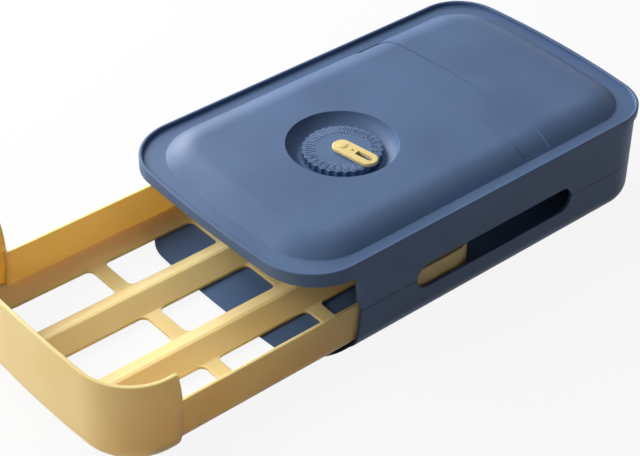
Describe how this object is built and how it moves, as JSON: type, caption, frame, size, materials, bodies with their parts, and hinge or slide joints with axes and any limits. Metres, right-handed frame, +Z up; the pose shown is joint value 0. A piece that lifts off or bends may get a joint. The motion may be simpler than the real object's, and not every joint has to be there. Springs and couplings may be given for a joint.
{
  "type": "egg storage drawer",
  "caption": "Flat moulded case with a pull-out egg drawer: ridged, slotted tray, wrap-round front, side slots and a date dial with pointer sunk in the domed lid.",
  "frame": {"origin": "centre of the case's flat underside", "axes": "+X to the right, -Y out of the drawer's front, +Z up; the drawer stands drawn out as in the picture"},
  "size_m": [0.2, 0.4726, 0.0827],
  "materials": {
    "case_blue": "satin moulded, grey blue",
    "drawer_cream": "satin moulded, warm cream",
    "dial_blue": "satin moulded, grey blue",
    "pointer_cream": "satin moulded, warm cream"
  },
  "bodies": {
    "case": {"top_cover": "case_blue", "base_shell": "case_blue"},
    "drawer_body": {"drawer": "drawer_cream"},
    "dial_body": {"date_dial": "dial_blue"},
    "pointer_body": {"date_pointer": "pointer_cream"}
  },
  "joints": [
    {"name": "drawer_slide", "type": "slide", "parent": "case", "child": "drawer_body", "axis": [0, -1, 0], "range_m": [-0.142, 0.076]},
    {"name": "dial_turn", "type": "hinge", "parent": "case", "child": "dial_body", "pos_m": [0, -0.0464, 0.0761], "axis": [0, 0, 1], "continuous": true},
    {"name": "pointer_turn", "type": "hinge", "parent": "case", "child": "pointer_body", "pos_m": [0, -0.0464, 0.08], "axis": [0, 0, 1], "continuous": true}
  ]
}
